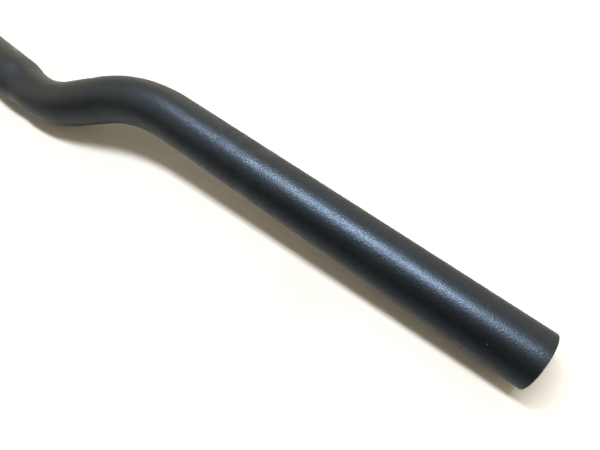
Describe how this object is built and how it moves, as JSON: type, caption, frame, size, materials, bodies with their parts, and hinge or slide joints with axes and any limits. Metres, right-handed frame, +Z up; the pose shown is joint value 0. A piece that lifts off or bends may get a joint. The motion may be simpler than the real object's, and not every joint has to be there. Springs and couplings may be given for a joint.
{
  "type": "riser handlebar",
  "caption": "Riser handlebar for a bicycle: one bent, swaged alloy tube with a thicker centre for the stem and straight open-ended grips.",
  "frame": {"origin": "middle of the centre section, on its axis, where the stem clamps", "axes": "+X along the centre section towards one grip, +Y along the surface towards the grips, +Z up from the surface that the bar lies on, which is 12.7 mm below the origin"},
  "size_m": [0.6618, 0.0616, 0.0382],
  "materials": {
    "black_satin_alloy": "satin black, finely blasted and anodised"
  },
  "bodies": {
    "root": {"handlebar": "black_satin_alloy"}
  },
  "joints": []
}
